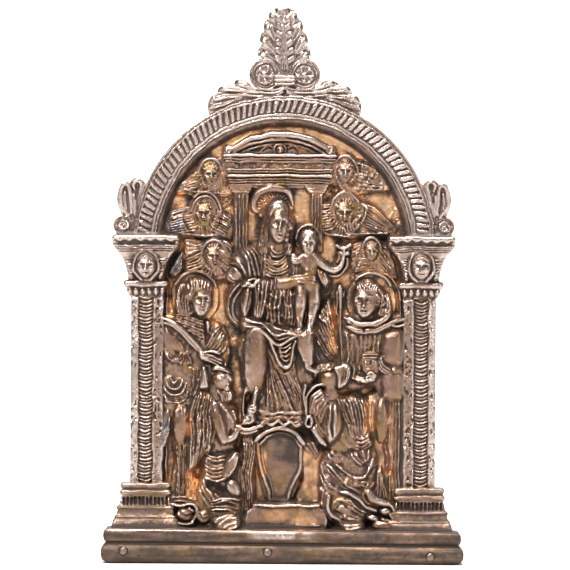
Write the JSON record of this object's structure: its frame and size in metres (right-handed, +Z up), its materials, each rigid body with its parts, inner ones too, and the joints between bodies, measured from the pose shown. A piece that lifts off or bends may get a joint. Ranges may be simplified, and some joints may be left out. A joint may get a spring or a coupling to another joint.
{
  "type": "religious plaque",
  "caption": "Upright cast bronze devotional plaque: an arched frame with pilasters, plinth and palmette crest around a relief of a seated mother and child with attendant figures.",
  "frame": {"origin": "centre of the underside's bounding rectangle, on the plane that the plaque stands on", "axes": "+X to the viewer's right, +Y towards the back, +Z up; the relief faces -Y"},
  "size_m": [0.1104, 0.0164, 0.17],
  "materials": {
    "bronze": "worn cast bronze, brown patina in the hollows, traces of gilding on the ground",
    "rivet": "domed bronze rivet head, worn"
  },
  "bodies": {
    "root": {"plaque": "bronze", "rivet_left": "rivet", "rivet_middle": "rivet", "rivet_right": "rivet"}
  },
  "joints": []
}
